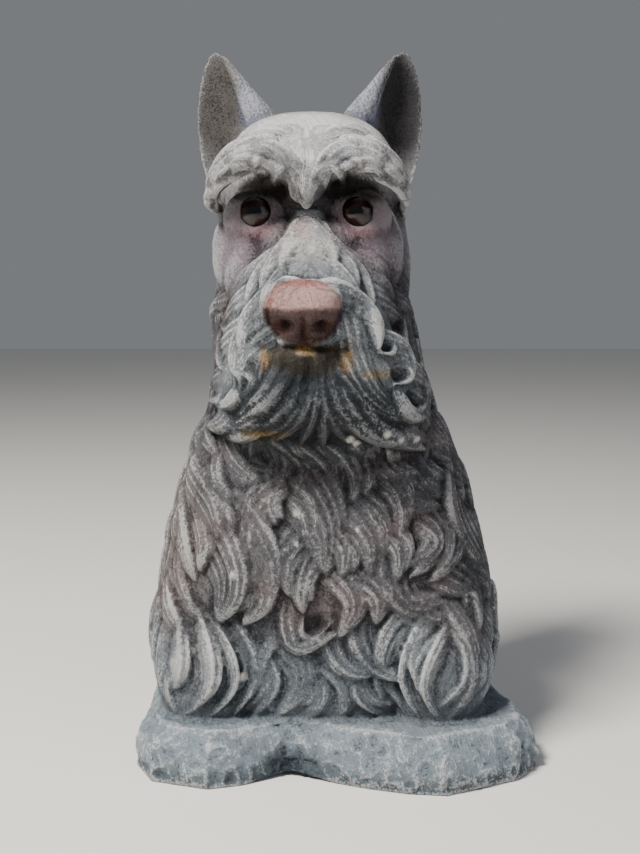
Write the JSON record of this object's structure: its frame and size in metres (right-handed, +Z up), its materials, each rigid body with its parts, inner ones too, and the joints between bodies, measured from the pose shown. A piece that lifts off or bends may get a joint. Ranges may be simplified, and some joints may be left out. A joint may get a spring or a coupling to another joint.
{
  "type": "dog statue",
  "caption": "Painted cement statue of a sitting Scottish terrier on a rough base, with carved locks of hair, pricked ears, a full beard and brown glass eyes",
  "frame": {"origin": "on the flat underside of the base, on the figure's upright centre line", "axes": "+Z up, the dog looks along -Y, +X towards a viewer's right"},
  "size_m": [0.2183, 0.2092, 0.386],
  "materials": {
    "painted_cement": "cast cement, painted grey, weathered and dry-brushed with white",
    "eye_glass": "polished glass over a dark brown iris"
  },
  "bodies": {
    "root": {"terrier_on_base": "painted_cement", "glass_eye_left": "eye_glass", "glass_eye_right": "eye_glass"}
  },
  "joints": []
}
